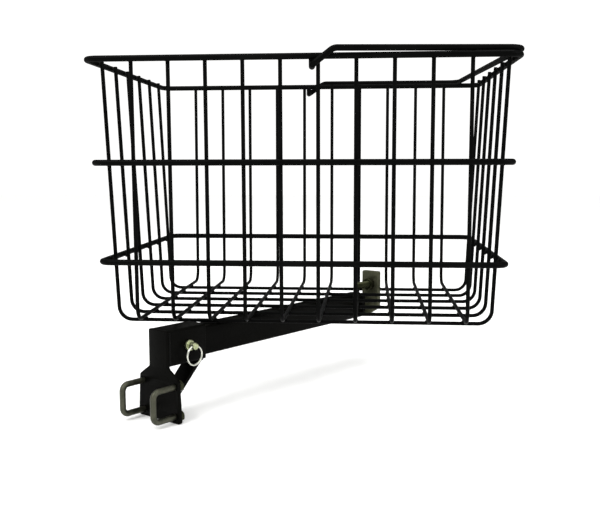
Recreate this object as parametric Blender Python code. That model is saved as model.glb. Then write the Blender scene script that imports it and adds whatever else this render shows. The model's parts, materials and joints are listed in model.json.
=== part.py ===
"""Wire handlebar basket on a quick-release arm.

A welded wire basket rides on a rectangular arm that passes diagonally under its
floor.  The arm slips into a receiver on a clamp plate, which two U-bolts hold on
a horizontal handlebar.  Units are metres, +Z is up, +X runs along the basket's
long side, and the origin is the middle of the handlebar's axis between the
U-bolts.
"""
import math

import bmesh
import bpy
from mathutils import Vector

# ---------------------------------------------------------------- dimensions
GAP = 0.0003                  # clearance left between touching pieces

# handlebar and clamp plate
BAR_DIAMETER = 0.0222
PLATE_THICKNESS = 0.004
PLATE_FOOT_WIDTH = 0.0606
PLATE_SHOULDER_WIDTH = 0.055
PLATE_FOOT_BELOW_BAR = 0.021
PLATE_SHOULDER_ABOVE_BAR = 0.021
PLATE_NECK_ABOVE_BAR = 0.031
HOLE_SPACING_WIDE = 0.045
HOLE_SPACING_TALL = 0.0292
HOLE_RADIUS = 0.0034

# U-bolts and their nuts (M6)
U_BOLT_RADIUS = 0.003
U_BOLT_BEND = 0.0065
U_BOLT_END = 0.0222           # how far the legs reach past the bar's axis
M6_ACROSS_FLATS = 0.010
M6_NUT_HEIGHT = 0.0045

# receiver, its brace, and the arm
RECEIVER_WIDTH = 0.026
RECEIVER_HEIGHT = 0.036
RECEIVER_WALL = 0.0027
RECEIVER_LENGTH = 0.048
RECEIVER_TOP_ABOVE_BAR = 0.068
BRACE_WIDTH = 0.020
BRACE_FOOT_TOP = -0.0095
BRACE_FOOT_BOTTOM = -0.014
ARM_WIDTH = 0.020
ARM_HEIGHT = 0.030
ARM_WALL = 0.002
ARM_NEAR_END = 0.020
ARM_YAW = math.radians(35.0)  # the arm's turn away from the basket's short side

# L-shaped lug that caps the arm's far end, with its bolt and nut (M8)
LUG_DISTANCE = 0.344          # from the bar's axis to the lug's middle
LUG_WIDTH = 0.024             # of the upright, which stands at the arm's right
LUG_OVERLAP = 0.002           # how far the upright reaches across the arm's end
LUG_THICKNESS = 0.006
LUG_BELOW_ARM_TOP = 0.027
LUG_ABOVE_ARM_TOP = 0.029
LUG_FOOT_BELOW_ARM_TOP = 0.001
LUG_CORNER_CUT = 0.010
LUG_BOLT_ABOVE_ARM_TOP = 0.0132
M8_RADIUS = 0.004
M8_ACROSS_FLATS = 0.013
M8_HEAD_HEIGHT = 0.0053
M8_NUT_HEIGHT = 0.0065
M8_LENGTH = 0.035

# quick-release pin, which crosses the receiver from side to side, and its ring
PIN_DISTANCE = 0.040          # from the bar's axis to the pin
PIN_RADIUS = 0.0035
PIN_SHANK = 0.039             # from the collar to the tip
PIN_COLLAR_RADIUS = 0.0055
PIN_COLLAR_HEIGHT = 0.003
PIN_EYE_OUT = 0.0085          # from the receiver's side to the ring's hole
PIN_END_PAST_EYE = 0.0032
PIN_EYE_RADIUS = 0.0016
RING_RADIUS = 0.0095
RING_WIRE_RADIUS = 0.001

# wire basket: sizes are to the wires' centre lines
CAGE_LENGTH = 0.4034          # between the end walls' wires, at the rim
CAGE_DEPTH = 0.3048           # between the long walls' wires, at the rim
RIM_CORNER = 0.012
HOOP_WIRE_RADIUS = 0.0032
MIDDLE_HOOP_DROP = 0.0993
LOWER_HOOP_DROP = 0.1972
LEAN_X = 0.0455               # how much each wall leans in, per unit of drop
LEAN_Y = 0.016
CAGE_WIRE_RADIUS = 0.002
CAGE_BEND = 0.014
CAGE_TOP = 0.002              # cage wires end this far above the rim's centre
CROSS_WIRES = 10
CROSS_PITCH = 0.0362
LENGTH_WIRES = 6
LENGTH_PITCH = 0.0452
LENGTH_SHIFT = -0.0065        # of the middle of the lengthwise wires, along Y
FLOOR_DROP = 0.2607           # the lengthwise wires' floor run, below the rim
LUG_CELL_X = 0.0708           # where the lug rises through the floor
LUG_CELL_Y = 0.085

# folding bail
BAIL_YAW = math.radians(4.6)  # its hooks sit at opposite ends of their cells
BAIL_AXIS_DROP = 0.009
BAIL_HALF_WIDTH = 0.1664
BAIL_REACH = 0.1975
BAIL_SHOULDER_OUT = 0.020
BAIL_NEAR_SHOULDER_UP = 0.0156
BAIL_FAR_SHOULDER_UP = 0.0142
BAIL_TIP_HALF_WIDTH = 0.1465
BAIL_TIP_LENGTH = 0.008
BAIL_CORNER = 0.014
BAIL_SHOULDER_BEND = 0.010
BAIL_HOOK_BEND = 0.005

# ------------------------------------------------------------- derived places
PLATE_OUTER = BAR_DIAMETER / 2 + GAP
PLATE_INNER = PLATE_OUTER + PLATE_THICKNESS
RECEIVER_START = PLATE_INNER + GAP
RECEIVER_END = RECEIVER_START + RECEIVER_LENGTH
RECEIVER_BOTTOM = RECEIVER_TOP_ABOVE_BAR - RECEIVER_HEIGHT
ARM_MIDDLE = RECEIVER_TOP_ABOVE_BAR - RECEIVER_HEIGHT / 2
ARM_TOP = ARM_MIDDLE + ARM_HEIGHT / 2
LUG_NEAR_FACE = LUG_DISTANCE - LUG_THICKNESS / 2
LUG_FAR_FACE = LUG_DISTANCE + LUG_THICKNESS / 2
LUG_SIDE = ARM_WIDTH / 2 - LUG_OVERLAP + LUG_WIDTH / 2
RIM_HEIGHT = ARM_TOP + GAP + CAGE_WIRE_RADIUS + FLOOR_DROP
CROSS_WIRE_DROP = FLOOR_DROP - 2 * CAGE_WIRE_RADIUS - GAP
HOOP_OUTSET = HOOP_WIRE_RADIUS + GAP + CAGE_WIRE_RADIUS
BAIL_END_UP = BAIL_AXIS_DROP + 2 * HOOP_WIRE_RADIUS + GAP

# ------------------------------------------------------------------ materials
BLACK_PAINT = ("black_paint", (0.012, 0.012, 0.011), 0.35, 0.0)
OLIVE_ZINC = ("olive_zinc", (0.16, 0.16, 0.11), 0.42, 0.9)
YELLOW_ZINC = ("yellow_zinc", (0.55, 0.56, 0.42), 0.32, 0.95)
BRIGHT_STEEL = ("bright_steel", (0.62, 0.62, 0.58), 0.25, 1.0)


def clear_scene():
    for item in list(bpy.data.objects):
        bpy.data.objects.remove(item, do_unlink=True)


def material(spec):
    name, colour, roughness, metallic = spec
    found = bpy.data.materials.get(name)
    if found:
        return found
    made = bpy.data.materials.new(name)
    made.use_nodes = True
    shader = made.node_tree.nodes["Principled BSDF"]
    shader.inputs["Base Color"].default_value = (*colour, 1.0)
    shader.inputs["Roughness"].default_value = roughness
    shader.inputs["Metallic"].default_value = metallic
    return made


def link(name, data, finish=None, parent=None):
    item = bpy.data.objects.new(name, data)
    bpy.context.scene.collection.objects.link(item)
    item.parent = parent
    if finish:
        data.materials.append(material(finish))
    return item


def empty(name, location, turn=0.0, parent=None):
    item = link(name, None, parent=parent)
    item.location = location
    item.rotation_euler = (0.0, 0.0, turn)
    return item


def mesh_object(name, bm, finish, parent, smooth_angle=35.0):
    bmesh.ops.recalc_face_normals(bm, faces=bm.faces)
    mesh = bpy.data.meshes.new(name)
    bm.to_mesh(mesh)
    bm.free()
    mesh.shade_smooth()
    mesh.set_sharp_from_angle(angle=math.radians(smooth_angle))
    return link(name, mesh, finish, parent)


def boolean(item, cutter, operation="DIFFERENCE"):
    cutter.hide_render = True
    cutter.display_type = "WIRE"
    modifier = item.modifiers.new(cutter.name, "BOOLEAN")
    modifier.operation = operation
    modifier.object = cutter
    modifier.solver = "EXACT"


# ----------------------------------------------------------------- wire shapes
def fillet(corners, radius, steps=4, closed=False):
    """Round a polyline's corners with arcs; radius may be one per corner."""
    corners = [Vector(corner) for corner in corners]
    count = len(corners)
    radii = radius if isinstance(radius, (list, tuple)) else [radius] * count
    points = []
    for index, corner in enumerate(corners):
        if not closed and index in (0, count - 1):
            points.append(corner)
            continue
        back = (corners[index - 1] - corner).normalized()
        ahead = (corners[(index + 1) % count] - corner).normalized()
        half = back.angle(ahead) / 2
        reach = radii[index] / math.tan(half)
        middle = corner + (back + ahead).normalized() * radii[index] / math.sin(half)
        first = corner + back * reach - middle
        last = corner + ahead * reach - middle
        sweep = first.angle(last)
        for step in range(steps + 1):
            part = step / steps
            spoke = (math.sin((1 - part) * sweep) * first + math.sin(part * sweep) * last)
            points.append(middle + spoke / math.sin(sweep))
    return points


def wire(name, points, radius, finish, parent, closed=False, sides=8):
    """A round wire swept along its centre points, with flat ends."""
    curve = bpy.data.curves.new(name, "CURVE")
    curve.dimensions = "3D"
    curve.fill_mode = "FULL"
    curve.bevel_depth = radius
    curve.bevel_resolution = sides // 2 - 2
    curve.use_fill_caps = True
    spline = curve.splines.new("POLY")
    spline.points.add(len(points) - 1)
    for place, point in zip(spline.points, points):
        place.co = (*point, 1.0)
    spline.use_cyclic_u = closed
    spline.use_smooth = True
    return link(name, curve, finish, parent)


# ---------------------------------------------------------------- solid shapes
def extruded(name, outline, depth, finish, parent, bevel=0.0):
    """A solid from an outline of 3-D points, extruded by the vector depth."""
    bm = bmesh.new()
    face = bm.faces.new([bm.verts.new(point) for point in outline])
    grown = bmesh.ops.extrude_face_region(bm, geom=[face])
    moved = [part for part in grown["geom"] if isinstance(part, bmesh.types.BMVert)]
    bmesh.ops.translate(bm, verts=moved, vec=depth)
    item = mesh_object(name, bm, finish, parent)
    if bevel:
        rounding = item.modifiers.new("edges", "BEVEL")
        rounding.width = bevel
        rounding.segments = 1
        rounding.limit_method = "ANGLE"
    return item


def box_outline(width, height, y, z, x=0.0):
    """Corners of a rectangle that faces along Y."""
    return [Vector((x + sx * width / 2, y, z + sz * height / 2))
            for sx, sz in ((-1, -1), (1, -1), (1, 1), (-1, 1))]


def rounded_box_outline(width, height, y, z, corner, steps=3):
    return fillet(box_outline(width, height, y, z), corner, steps, closed=True)


def box_tube(name, width, height, wall, start, end, z, finish, parent):
    """A rectangular tube along Y with rounded corners, open at both ends."""
    bm = bmesh.new()
    loops = []
    shapes = ((width, height, 1.6 * wall, start), (width, height, 1.6 * wall, end),
              (width - 2 * wall, height - 2 * wall, 0.6 * wall, end),
              (width - 2 * wall, height - 2 * wall, 0.6 * wall, start))
    for wide, tall, corner, y in shapes:
        outline = rounded_box_outline(wide, tall, y, z, corner)
        loops.append([bm.verts.new(point) for point in outline])
    count = len(loops[0])
    for first, second in zip(loops, loops[1:] + loops[:1]):
        for index in range(count):
            after = (index + 1) % count
            bm.faces.new((first[index], first[after], second[after], second[index]))
    return mesh_object(name, bm, finish, parent)


def cylinder(name, radius, length, location, finish, parent, along="Z", sides=24):
    """A round rod centred on location, along the named axis."""
    bm = bmesh.new()
    bmesh.ops.create_cone(bm, cap_ends=True, segments=sides, radius1=radius, radius2=radius, depth=length)
    item = mesh_object(name, bm, finish, parent)
    item.location = location
    if along == "X":
        item.rotation_euler = (0.0, math.pi / 2, 0.0)
    if along == "Y":
        item.rotation_euler = (math.pi / 2, 0.0, 0.0)
    return item


def cutter_rod(name, radius, length, location, parent, along):
    return cylinder(name, radius, length, location, None, parent, along, sides=20)


def turned(name, profile, finish, parent, sides=24):
    """A solid of revolution about Z; the profile is (radius, height), bottom to top."""
    bm = bmesh.new()
    rings = []
    for radius, height in profile:
        rings.append([bm.verts.new((radius * math.cos(turn), radius * math.sin(turn), height))
                      for turn in (2 * math.pi * step / sides for step in range(sides))])
    for lower, upper in zip(rings, rings[1:]):
        for index in range(sides):
            after = (index + 1) % sides
            bm.faces.new((lower[index], lower[after], upper[after], upper[index]))
    bm.faces.new(reversed(rings[0]))
    bm.faces.new(rings[-1])
    return mesh_object(name, bm, finish, parent)


def hexagon(across_flats, y, x, z):
    corner = across_flats / math.sqrt(3)
    return [Vector((x + corner * math.sin(turn), y, z + corner * math.cos(turn)))
            for turn in (math.pi / 3 * step for step in range(6))]


def nut(name, across_flats, hole_radius, height, location, finish, parent, sides=18):
    """A hexagon nut whose hole runs along Y; location is its face nearest the bar."""
    x, y, z = location
    body = extruded(name, hexagon(across_flats, y, x, z), Vector((0, height, 0)), finish, parent, 0.0005)
    hole = cylinder(name + "_hole", hole_radius, 4 * height, location, None, parent, "Y", sides)
    boolean(body, hole)
    return body


# --------------------------------------------------------------- bracket group
def plate_outline():
    foot, shoulder, neck = PLATE_FOOT_WIDTH / 2, PLATE_SHOULDER_WIDTH / 2, RECEIVER_WIDTH / 2
    half = [(foot, -PLATE_FOOT_BELOW_BAR), (shoulder, PLATE_SHOULDER_ABOVE_BAR),
            (neck, PLATE_NECK_ABOVE_BAR), (neck, RECEIVER_TOP_ABOVE_BAR)]
    mirrored = [(-x, z) for x, z in reversed(half)]
    corners = [Vector((x, PLATE_OUTER, z)) for x, z in half + mirrored]
    radii = [0.003, 0.004, 0.002, 0.002] + [0.002, 0.002, 0.004, 0.003]
    return fillet(corners, radii, 3, closed=True)


def clamp_holes():
    """The four places where the U-bolts' legs pass through the plate."""
    wide, tall = HOLE_SPACING_WIDE / 2, HOLE_SPACING_TALL / 2
    return {"left_upper": (-wide, tall), "left_lower": (-wide, -tall),
            "right_upper": (wide, tall), "right_lower": (wide, -tall)}


def build_bracket(frame):
    thickness = Vector((0, PLATE_THICKNESS, 0))
    plate = extruded("clamp_plate", plate_outline(), thickness, BLACK_PAINT, frame)
    for side, (x, z) in clamp_holes().items():
        place = (x, PLATE_OUTER + PLATE_THICKNESS / 2, z)
        boolean(plate, cutter_rod("hole_" + side, HOLE_RADIUS, 3 * PLATE_THICKNESS, place, frame, "Y"))

    receiver = box_tube("receiver_tube", RECEIVER_WIDTH, RECEIVER_HEIGHT, RECEIVER_WALL,
                        RECEIVER_START, RECEIVER_END, ARM_MIDDLE, BLACK_PAINT, frame)
    boolean(receiver, pin_bore(frame, "receiver_pin_hole"))

    top = RECEIVER_BOTTOM - GAP
    rise = top - BRACE_FOOT_TOP
    reach = RECEIVER_END - 0.008
    side_view = [(RECEIVER_START, BRACE_FOOT_BOTTOM), (RECEIVER_START, BRACE_FOOT_TOP),
                 (reach, top), (reach + (BRACE_FOOT_TOP - BRACE_FOOT_BOTTOM) * reach / rise, top)]
    outline = [Vector((-BRACE_WIDTH / 2, y, z)) for y, z in side_view]
    extruded("receiver_brace", outline, Vector((BRACE_WIDTH, 0, 0)), BLACK_PAINT, frame)


def build_u_bolt(name, x, frame):
    bow = -(BAR_DIAMETER / 2 + GAP + U_BOLT_RADIUS)
    leg = HOLE_SPACING_TALL / 2
    corners = [(x, U_BOLT_END, leg), (x, bow, leg), (x, bow, -leg), (x, U_BOLT_END, -leg)]
    wire(name, fillet(corners, U_BOLT_BEND, 5), U_BOLT_RADIUS, OLIVE_ZINC, frame, sides=12)


def build_clamp_hardware(frame):
    for side in (-1, 1):
        name = "u_bolt_left" if side < 0 else "u_bolt_right"
        build_u_bolt(name, side * HOLE_SPACING_WIDE / 2, frame)
    for side, (x, z) in clamp_holes().items():
        nut("nut_" + side, M6_ACROSS_FLATS, U_BOLT_RADIUS + GAP, M6_NUT_HEIGHT,
            (x, PLATE_INNER + GAP, z), OLIVE_ZINC, frame)


# ------------------------------------------------------------------- arm group
def pin_bore(frame, name):
    place = (0.0, PIN_DISTANCE, ARM_MIDDLE)
    return cutter_rod(name, PIN_RADIUS + GAP, 2 * RECEIVER_WIDTH, place, frame, "X")


def lug_outline():
    """The lug from behind: a foot across the arm's end, and an upright to its right."""
    low, high = ARM_TOP - LUG_BELOW_ARM_TOP, ARM_TOP + LUG_ABOVE_ARM_TOP
    foot = ARM_TOP - LUG_FOOT_BELOW_ARM_TOP
    left, inner, right = -ARM_WIDTH / 2, LUG_SIDE - LUG_WIDTH / 2, LUG_SIDE + LUG_WIDTH / 2
    shape = [(left, low), (right - 1.6 * LUG_CORNER_CUT, low), (right, low + LUG_CORNER_CUT),
             (right, high), (inner, high), (inner, foot), (left, foot)]
    corners = [Vector((x, LUG_NEAR_FACE, z)) for x, z in shape]
    return fillet(corners, [0.002, 0.004, 0.004, 0.002, 0.002, 0.001, 0.002], 3, closed=True)


def build_arm(frame):
    tube = box_tube("arm_tube", ARM_WIDTH, ARM_HEIGHT, ARM_WALL, ARM_NEAR_END, LUG_NEAR_FACE - GAP,
                    ARM_MIDDLE, BLACK_PAINT, frame)
    boolean(tube, pin_bore(frame, "arm_pin_hole"))

    lug = extruded("arm_lug", lug_outline(), Vector((0, LUG_THICKNESS, 0)), OLIVE_ZINC, frame)
    bolt_height = ARM_TOP + LUG_BOLT_ABOVE_ARM_TOP
    place = (LUG_SIDE, LUG_DISTANCE, bolt_height)
    boolean(lug, cutter_rod("lug_hole", M8_RADIUS + GAP, 3 * LUG_THICKNESS, place, frame, "Y"))

    # the bolt's head is behind the lug, and its shank reaches forward over the floor wires
    shank = M8_LENGTH + M8_HEAD_HEIGHT / 2
    shank_middle = LUG_FAR_FACE + GAP + M8_HEAD_HEIGHT / 2 - shank / 2
    shank_place = (LUG_SIDE, shank_middle, bolt_height)
    bolt = cylinder("lug_bolt", M8_RADIUS, shank, shank_place, OLIVE_ZINC, frame, "Y")
    head_outline = hexagon(M8_ACROSS_FLATS, LUG_FAR_FACE + GAP, LUG_SIDE, bolt_height)
    head = extruded("lug_bolt_head", head_outline, Vector((0, M8_HEAD_HEIGHT, 0)), OLIVE_ZINC, frame, 0.0006)
    boolean(bolt, head, "UNION")
    nut("lug_nut", M8_ACROSS_FLATS, M8_RADIUS + GAP, M8_NUT_HEIGHT,
        (LUG_SIDE, LUG_NEAR_FACE - GAP - M8_NUT_HEIGHT, bolt_height), OLIVE_ZINC, frame)


# ------------------------------------------------------------------- pin group
def build_pin(frame):
    """The pin enters from the right; its ring hangs straight down from its eye."""
    axis = empty("pin_axis", (RECEIVER_WIDTH / 2, PIN_DISTANCE, ARM_MIDDLE), parent=frame)
    tip = GAP - PIN_SHANK
    end = PIN_EYE_OUT + PIN_END_PAST_EYE
    profile = [(PIN_RADIUS - 0.0012, tip), (PIN_RADIUS, tip + 0.0018), (PIN_RADIUS, GAP),
               (PIN_COLLAR_RADIUS, GAP), (PIN_COLLAR_RADIUS, GAP + PIN_COLLAR_HEIGHT),
               (PIN_RADIUS, GAP + PIN_COLLAR_HEIGHT), (PIN_RADIUS, end - 0.001), (PIN_RADIUS - 0.001, end)]
    pin = turned("quick_release_pin", profile, YELLOW_ZINC, axis)
    pin.rotation_euler = (0.0, math.pi / 2, 0.0)
    eye = (PIN_EYE_OUT, 0.0, 0.0)
    boolean(pin, cutter_rod("pin_eye", PIN_EYE_RADIUS, 4 * PIN_RADIUS, eye, axis, "Y"))

    # the ring's curve is centred in the eye, so half of its sag shows at each mouth
    sag = RING_RADIUS - math.sqrt(RING_RADIUS ** 2 - PIN_RADIUS ** 2)
    steps = 28
    points = []
    for step in range(steps):
        turn = 2 * math.pi * step / steps
        drop = RING_RADIUS * (1 - math.cos(turn)) - sag / 2
        points.append(Vector((0.0, RING_RADIUS * math.sin(turn), -drop)))
    ring = wire("pin_ring", points, RING_WIRE_RADIUS, BRIGHT_STEEL, axis, closed=True)
    ring.location = eye


# ---------------------------------------------------------------- basket group
def wall_half(size, lean, drop):
    """Half of the distance between two facing walls' wires, at a depth below the rim."""
    return size / 2 - lean * drop


def build_hoop(name, drop, frame):
    half_x = wall_half(CAGE_LENGTH, LEAN_X, drop) + HOOP_OUTSET
    half_y = wall_half(CAGE_DEPTH, LEAN_Y, drop) + HOOP_OUTSET
    signs = [(1, 1), (-1, 1), (-1, -1), (1, -1)]
    corners = [(side_x * half_x, side_y * half_y, -drop) for side_x, side_y in signs]
    points = fillet(corners, RIM_CORNER, 5, closed=True)
    wire(name, points, HOOP_WIRE_RADIUS, BLACK_PAINT, frame, closed=True, sides=10)


def cage_profile(size, lean, floor_drop):
    """One U-shaped wire as (across, height) corners, from rim to rim."""
    top = wall_half(size, lean, -CAGE_TOP)
    floor = wall_half(size, lean, floor_drop)
    return [(-top, CAGE_TOP), (-floor, -floor_drop), (floor, -floor_drop), (top, CAGE_TOP)]


def build_cage(frame):
    for index in range(CROSS_WIRES):
        x = (index - (CROSS_WIRES - 1) / 2) * CROSS_PITCH
        profile = cage_profile(CAGE_DEPTH, LEAN_Y, CROSS_WIRE_DROP)
        points = fillet([(x, across, height) for across, height in profile], CAGE_BEND, 4)
        wire(f"cross_wire_{index + 1:02d}", points, CAGE_WIRE_RADIUS, BLACK_PAINT, frame)
    for index in range(LENGTH_WIRES):
        y = (index - (LENGTH_WIRES - 1) / 2) * LENGTH_PITCH + LENGTH_SHIFT
        profile = cage_profile(CAGE_LENGTH, LEAN_X, FLOOR_DROP)
        points = fillet([(across, y, height) for across, height in profile], CAGE_BEND, 4)
        wire(f"length_wire_{index + 1}", points, CAGE_WIRE_RADIUS, BLACK_PAINT, frame)


def bail_side(side, shoulder_up):
    """One arm of the bail: hook tip, pivot, shoulder and the cross-bar's corner."""
    return [(0.0, side * BAIL_TIP_HALF_WIDTH, BAIL_TIP_LENGTH), (0.0, side * BAIL_TIP_HALF_WIDTH, 0.0),
            (0.0, side * BAIL_HALF_WIDTH, 0.0), (BAIL_SHOULDER_OUT, side * BAIL_HALF_WIDTH, shoulder_up),
            (BAIL_REACH, side * BAIL_HALF_WIDTH, BAIL_END_UP)]


def build_bail(frame):
    """A square-cornered bail whose ends turn in under the rim to make its hinge."""
    axis = empty("bail_axis", (0.0, 0.0, -BAIL_AXIS_DROP), BAIL_YAW, frame)
    radii = [0.0, BAIL_HOOK_BEND, BAIL_HOOK_BEND, BAIL_SHOULDER_BEND, BAIL_CORNER]
    corners = bail_side(-1, BAIL_NEAR_SHOULDER_UP) + bail_side(1, BAIL_FAR_SHOULDER_UP)[::-1]
    points = fillet(corners, radii + radii[::-1], 5)
    wire("bail_handle", points, HOOP_WIRE_RADIUS, BLACK_PAINT, axis, sides=10)


def build_basket(swivel):
    centre = empty("basket_centre", (-LUG_CELL_X, -LUG_CELL_Y, 0.0), parent=swivel)
    build_hoop("top_rim", 0.0, centre)
    build_hoop("middle_hoop", MIDDLE_HOOP_DROP, centre)
    build_hoop("lower_hoop", LOWER_HOOP_DROP, centre)
    build_cage(centre)
    build_bail(centre)


def main():
    clear_scene()
    arm_frame = empty("arm_frame", (0.0, 0.0, 0.0), -ARM_YAW)
    build_bracket(arm_frame)
    build_clamp_hardware(arm_frame)
    build_arm(arm_frame)
    build_pin(arm_frame)
    across, along = math.cos(ARM_YAW), math.sin(ARM_YAW)
    pivot_x = LUG_SIDE * across + LUG_DISTANCE * along
    pivot_y = LUG_DISTANCE * across - LUG_SIDE * along
    swivel = empty("swivel_axis", (pivot_x, pivot_y, RIM_HEIGHT))
    build_basket(swivel)


main()
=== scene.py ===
"""Looks for the wire handlebar basket: fine wire, threads, welds, paint and plating.

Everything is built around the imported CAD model, in metres, in its frame.  Places
come from the CAD nodes' boxes and from the record; the few sizes that a box
can't give are named below.
"""
import json
import math
import random

import bmesh
import bpy
import numpy as np
from mathutils import Matrix, Vector


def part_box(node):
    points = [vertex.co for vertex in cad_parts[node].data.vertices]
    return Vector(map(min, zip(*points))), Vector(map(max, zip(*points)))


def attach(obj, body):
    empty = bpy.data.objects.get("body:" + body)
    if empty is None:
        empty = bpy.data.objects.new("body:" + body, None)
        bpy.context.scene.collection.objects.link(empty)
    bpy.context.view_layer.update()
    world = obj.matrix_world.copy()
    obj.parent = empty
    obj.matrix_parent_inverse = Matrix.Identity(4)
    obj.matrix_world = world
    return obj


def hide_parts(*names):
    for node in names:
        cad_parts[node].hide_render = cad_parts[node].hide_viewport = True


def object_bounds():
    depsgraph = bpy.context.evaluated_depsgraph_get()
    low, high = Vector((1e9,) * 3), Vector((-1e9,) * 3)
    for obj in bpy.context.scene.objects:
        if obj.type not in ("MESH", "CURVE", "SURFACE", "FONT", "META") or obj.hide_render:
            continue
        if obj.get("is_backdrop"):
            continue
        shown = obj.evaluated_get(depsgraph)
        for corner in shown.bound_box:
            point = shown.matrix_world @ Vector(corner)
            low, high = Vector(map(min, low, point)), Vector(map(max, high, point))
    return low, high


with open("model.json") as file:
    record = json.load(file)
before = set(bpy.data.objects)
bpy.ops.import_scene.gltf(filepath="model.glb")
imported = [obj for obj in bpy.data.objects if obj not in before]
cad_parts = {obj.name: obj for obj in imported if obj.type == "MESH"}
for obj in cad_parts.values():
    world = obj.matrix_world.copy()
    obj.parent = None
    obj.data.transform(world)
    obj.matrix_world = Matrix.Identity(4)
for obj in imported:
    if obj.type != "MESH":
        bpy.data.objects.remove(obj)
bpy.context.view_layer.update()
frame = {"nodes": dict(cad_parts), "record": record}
rng = random.Random(7)

# ------------------------------------------------------------ sizes from the CAD
HOOPS = ("top_rim", "middle_hoop", "lower_hoop")
CAGE = (("cross_wire_", 1), ("length_wire_", 0))      # the nodes' names, and the axis they run along
LEAN_X = 0.0455                # how much the end walls lean in, per unit of drop
LEAN_Y = 0.016                 # the same for the long walls
CAGE_BEND = 0.014
RIM_CORNER = 0.012
GAP = 0.0003                   # clearance that the CAD model leaves between pieces
BAIL_YAW = math.radians(4.6)
BAIL_CORNER = 0.014
BAIL_SHOULDER_OUT = 0.020
BAIL_NEAR_SHOULDER_UP = 0.0156
BAIL_FAR_SHOULDER_UP = 0.0142
BAIL_SHOULDER_BEND = 0.010
BAIL_HOOK_BEND = 0.005
BAIL_TIP_LENGTH = 0.008
BAIL_TIP_HALF_WIDTH = 0.1465
BAIL_HALF_WIDTH = 0.1664
BAIL_REACH = 0.1975
BAIL_AXIS_DROP = 0.009

WELD_SAG = 0.0008              # how far a hoop's welds sit below its middle
HOOP_WELD = (0.0034, 0.0026, 0.0021)      # half sizes of a weld: along, across, out
FLOOR_WELD = (0.0026, 0.0026, 0.0015)
WELD_LUMPS = 0.09              # unevenness of a weld, per unit of its size
BEAD_PITCH = 0.0021            # from ripple to ripple of a weld bead
BEAD_RIPPLE = 0.10             # depth of the ripples, per unit of the bead's radius
BEAD_SWAY = 0.07               # slower changes of its thickness
WIRE_STEP = 0.02               # longest straight piece of a wire's surface
WIRE_END_EDGE = 0.0005
BAIL_END_EDGE = 0.0012

PLATE_SHOULDER_WIDTH = 0.055
PLATE_SHOULDER_ABOVE_BAR = 0.021
PLATE_NECK_ABOVE_BAR = 0.031
PLATE_HOLE_RADIUS = 0.0034
PLATE_CORNERS = [0.003, 0.004, 0.002, 0.002]      # from the foot up, on each side
PLATE_EDGE = 0.0006            # rounding of the cut edges of plates and the receiver
RECEIVER_WALL = 0.0027
ARM_WALL = 0.002
ARM_EDGE = 0.0004
TUBE_CORNER = 0.0026
BRACE_FOOT = 0.0045
LUG_WIDTH = 0.024
LUG_CORNER_CUT = 0.010
LUG_CORNERS = [0.002, 0.004, 0.004, 0.002, 0.002, 0.001, 0.002]
LUG_FOOT_BELOW_ARM_TOP = 0.001
BEAD_INSET = 0.002             # from a seam's end to its bead's end

M6 = {"radius": 0.003, "pitch": 0.001, "flats": 0.010, "thread": 0.0105}
M8 = {"radius": 0.004, "pitch": 0.00125, "flats": 0.013, "thread": 0.024, "head": 0.0053}
HEX_FACE = 0.955               # radius of a hexagon's turned face, per half of its flats
HEX_SLOPE = math.tan(math.radians(30))
HOLE_CHAMFER = 0.0005
HOLE_CHAMFER_DEPTH = 0.0006
THREAD_DEPTH = 0.6             # per unit of pitch
THREAD_FLAT = 0.12             # share of a thread's flank given up to its root, and to its crest
THREAD_STATIONS = 9            # rings of vertices to one turn of thread
U_BOLTS = ("u_bolt_left", "u_bolt_right")
U_BOLT_BEND = 0.0065
PIN_RADIUS = 0.0035
PIN_EYE_RADIUS = 0.0016
PIN_EYE_OUT = 0.0085           # from the receiver's side to the ring's hole
PIN_COLLAR_RADIUS = 0.0055
PIN_COLLAR_HEIGHT = 0.003
PIN_TIP_TAPER = 0.0012         # how much narrower the tip is, on each side
PIN_TIP_LENGTH = 0.0018
PIN_END_TAPER = 0.001
LATHE_MIDDLE = 0.0006          # radius of the small flat that closes a turned end
RING_WIRE_RADIUS = 0.001

# ------------------------------------------------------------- finishes and studio
PAINT_CLOUDS, PAINT_GRAIN, PAINT_PITS = 26.0, 310.0, 2600.0      # noise scales, per metre
ZINC_CLOUDS, ZINC_PITS = 150.0, 700.0
OLIVE = [(0.036, 0.038, 0.026), (0.050, 0.052, 0.037), (0.066, 0.066, 0.048), (0.054, 0.052, 0.035)]
DARK = [(0.013, 0.015, 0.006), (0.019, 0.021, 0.009), (0.030, 0.031, 0.015), (0.022, 0.022, 0.009)]
LUG = [(0.050, 0.053, 0.030), (0.068, 0.071, 0.042), (0.086, 0.087, 0.055), (0.066, 0.064, 0.037)]
PALE = [(0.25, 0.28, 0.15), (0.33, 0.36, 0.21), (0.40, 0.42, 0.26), (0.31, 0.32, 0.17)]
STEEL = [(0.40, 0.41, 0.36), (0.50, 0.51, 0.45), (0.58, 0.58, 0.52), (0.46, 0.46, 0.40)]

FLOOR_REACH = 6.0
PAPER_WHITE = (0.93, 0.93, 0.925)
# painted shade: the floor behind is painted dark only where the pieces mirror it, to darken their
# reflections
PAPER_SHADE_BEHIND = (0.15, 0.15, 0.15)         # the floor far behind, as the pieces mirror it
ROOM_COLOUR = (1.0, 1.0, 0.99, 1.0)
ROOM_LIGHT, ROOM_LIGHT_BEHIND = 1.1, 0.2
LAMPS = (("key", (-0.9, -1.1, 1.5), 1.0, 22.0), ("fill", (1.3, -0.9, 0.9), 1.2, 10.0),
         ("top", (0.0, 0.3, 1.9), 1.6, 18.0))      # name, place, size, power
CAMERA_LENS = 49.8
CAMERA_FROM_RIM = (0.0664, -0.9520, -0.1014)
CAMERA_YAW, CAMERA_PITCH, CAMERA_ROLL = -0.0822, 0.1104, 0.0023


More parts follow.
